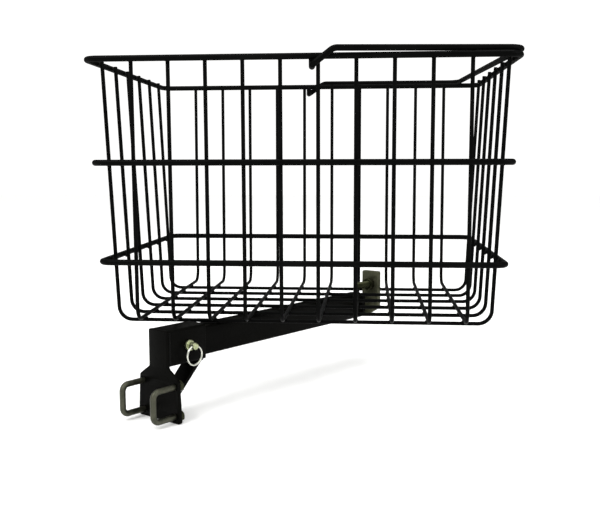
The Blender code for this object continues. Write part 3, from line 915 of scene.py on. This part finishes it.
# -------------------------------------------------------------------- fixings
def build_u_bolts(materials):
    for node in U_BOLTS:
        low, high = local_box(node)
        radius = M6["radius"]
        x = (low.x + high.x) / 2
        corners = [(x, high.y, high.z - radius), (x, low.y + radius, high.z - radius),
                   (x, low.y + radius, low.z + radius), (x, high.y, low.z + radius)]
        points = resampled(fillet(corners, U_BOLT_BEND, 14), 0.004)
        straight = high.y - low.y - radius - U_BOLT_BEND - 0.001
        span = min(M6["thread"], straight)
        bent = [point for point in points if point.y < high.y - span - 0.0003]
        points = close_stations([points[0]] + bent + [points[-1]], (span, span),
                                M6["pitch"] / THREAD_STATIONS)
        length = path_length(points)
        surface = threaded(M6, length, [(0.0, span), (length - span, length)])
        piece = sweep(node + "_rod", points, surface, materials["olive"], sides=28, matrix=CLAMP)
        finish_piece(piece, "clamp_and_arm", [node])


def build_nuts(materials):
    sizes = {"nut_left_upper": M6, "nut_left_lower": M6, "nut_right_upper": M6, "nut_right_lower": M6,
             "lug_nut": M8}
    for node, size in sizes.items():
        low, high = local_box(node)
        place = Matrix.Translation(((low.x + high.x) / 2, high.y, (low.z + high.z) / 2)) @ UPRIGHT
        piece = hex_body(node.replace("nut", "hex_nut"), size["flats"], high.y - low.y,
                         size["radius"] + 0.0001, materials["dark"], CLAMP @ place)
        finish_piece(piece, "clamp_and_arm", [node])


def build_lug_bolt(materials):
    low, high = local_box("lug_bolt")
    x, z = (low.x + high.x) / 2, (low.z + high.z) / 2
    seat = high.y - M8["head"]
    points = [Vector((x, low.y, z)), Vector((x, seat + 0.002, z))]
    points = close_stations(points, (M8["thread"], 0.0), M8["pitch"] / THREAD_STATIONS)
    # a length well past the real one keeps the end inside the head unchamfered
    surface = threaded(M8, path_length(points) + 1, [(0.0, M8["thread"])], 0.0009)
    shank = sweep("shank", points, surface, materials["dark"], sides=32, matrix=CLAMP)
    place = Matrix.Translation((x, seat, z)) @ BACKWARD
    head = hex_body("head", M8["flats"], M8["head"], None, materials["dark"], CLAMP @ place,
                    chamfer_low=False)
    finish_piece(joined("lug_hex_bolt", [shank, head]), "clamp_and_arm", ["lug_bolt"])


def eased(profile, steps=4):
    """Round each corner of a lathe profile of (radius, height, rounding) points."""
    corners = [Vector((point[0], 0, point[1])) for point in profile]
    return [(point.x, point.z) for point in fillet(corners, [point[2] for point in profile], steps)]


def build_pin(materials):
    low, high = local_box("quick_release_pin")
    side = local_box("receiver_tube")[1].x
    tip, end = low.x - side, high.x - side
    shank, collar = PIN_RADIUS, PIN_COLLAR_RADIUS
    collar_top = GAP + PIN_COLLAR_HEIGHT
    profile = eased([(LATHE_MIDDLE, tip, 0), (shank - PIN_TIP_TAPER, tip, 0.0004),
                     (shank, tip + PIN_TIP_LENGTH, 0.0008), (shank, GAP, 0), (collar, GAP, 0.0005),
                     (collar, collar_top, 0.0008), (shank, collar_top, 0.0004),
                     (shank, end - PIN_END_TAPER, 0.0006), (shank - PIN_END_TAPER, end, 0.0004),
                     (LATHE_MIDDLE, end, 0)])
    place = PIN_PLACE @ Matrix.Translation((side, 0, 0))
    pin = lathe("release_pin", profile, materials["pale"], CLAMP @ place @ SIDEWAYS, 64)
    across = Matrix.Translation((PIN_EYE_OUT, 0, 0)) @ UPRIGHT
    bored(pin, PIN_EYE_RADIUS, 3 * PIN_RADIUS, place @ across)
    finish_piece(pin, "pin", ["quick_release_pin"])


def build_ring(materials):
    low, high = local_box("pin_ring")
    centre = (low + high) / 2
    radius = (high.y - low.y) / 2 - RING_WIRE_RADIUS
    turns = (2 * math.pi * step / 96 for step in range(96))
    points = [centre + radius * Vector((0, math.sin(turn), math.cos(turn))) for turn in turns]
    ring = sweep("pull_ring", points, RING_WIRE_RADIUS, materials["steel"], sides=18, closed=True,
                 matrix=CLAMP)
    finish_piece(ring, "ring", ["pin_ring"])


# ------------------------------------------------------------------ floor, light
def build_studio():
    """A white sheet, a bright room and three lamps; where the pieces mirror them behind, the room is
    dimmer and the sheet is painted dark, as painted shade in their reflections.
    """
    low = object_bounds()[0][2]
    mesh = bpy.data.meshes.new("studio_floor")
    corners = ((-1, -1), (1, -1), (1, 1), (-1, 1))
    mesh.from_pydata([(FLOOR_REACH * x, FLOOR_REACH * y, low) for x, y in corners], [], [(0, 1, 2, 3)])
    floor = bpy.data.objects.new("studio_floor", mesh)
    bpy.context.scene.collection.objects.link(floor)
    paper = Nodes(bpy.data.materials.new("studio_paper"))
    # painted shade: the paper turns dark behind, only in the pieces' reflections
    paper.colour(paper.ramp(paper.mirrored_behind(0.0, 1.0), [(0.0, PAPER_WHITE), (1.0, PAPER_SHADE_BEHIND)]))
    paper.shader.inputs["Roughness"].default_value = 0.9
    mesh.materials.append(paper.holder)
    floor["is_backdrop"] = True

    room = Nodes(bpy.data.worlds.new("studio"), "Background", "Generated")
    room.shader.inputs["Color"].default_value = ROOM_COLOUR
    light = room.span(room.mirrored_behind(0.0, 0.5), ROOM_LIGHT, ROOM_LIGHT_BEHIND, 0.0, 1.0)
    room.link(light, room.shader.inputs["Strength"])
    bpy.context.scene.world = room.holder
    bpy.context.scene.view_settings.view_transform = "Standard"
    middle = Vector([(a + b) / 2 for a, b in zip(*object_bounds())])
    for name, place, size, power in LAMPS:
        data = bpy.data.lights.new(name, "AREA")
        data.size = size
        data.energy = power
        lamp = bpy.data.objects.new(name, data)
        bpy.context.scene.collection.objects.link(lamp)
        lamp.location = middle + Vector(place)
        lamp.rotation_euler = (middle - lamp.location).to_track_quat("-Z", "Y").to_euler()


def build_camera():
    """Placed from the middle of the rim: in front of it, below it and a little to its right."""
    low, high = box_of("top_rim")
    rim_centre = (low + high) / 2
    data = bpy.data.cameras.new("camera")
    data.sensor_width = 36.0
    data.lens = CAMERA_LENS
    data.clip_start = 0.01
    camera = bpy.data.objects.new("camera", data)
    bpy.context.scene.collection.objects.link(camera)
    yaw, pitch, roll = CAMERA_YAW, CAMERA_PITCH, CAMERA_ROLL
    ahead = Vector((math.sin(yaw) * math.cos(pitch), math.cos(yaw) * math.cos(pitch), -math.sin(pitch)))
    right = Vector((math.cos(yaw), -math.sin(yaw), 0.0))
    down = ahead.cross(right)
    rolled_right = math.cos(roll) * right + math.sin(roll) * down
    rolled_down = -math.sin(roll) * right + math.cos(roll) * down
    basis = Matrix((rolled_right, -rolled_down, -ahead)).transposed()
    place = Matrix.Translation(rim_centre + Vector(CAMERA_FROM_RIM))
    camera.matrix_world = place @ basis.to_4x4()
    bpy.context.scene.camera = camera


HOOP_RADIUS = hoop_radius("middle_hoop")
CAGE_RADIUS = cage_radius("cross_wire_01")
PIN_PLACE = pin_place()


def main():
    materials = make_materials()
    build_hoops(materials)
    build_cage(materials)
    build_welds(materials)
    build_bail(materials)
    build_bracket(materials)
    build_arm(materials)
    build_u_bolts(materials)
    build_nuts(materials)
    build_lug_bolt(materials)
    build_pin(materials)
    build_ring(materials)
    slots = {"black_bracket_paint": "bracket", "olive_zinc": "olive", "yellow_zinc": "pale",
             "bright_steel": "steel", "black_wire_paint": "wire"}
    for row in frame["record"]["subparts"]:
        node = frame["nodes"][row["node"]]
        for index in range(len(node.material_slots)):
            node.material_slots[index].material = materials[slots[row["material_slot"]]]
    build_studio()
    build_camera()


main()
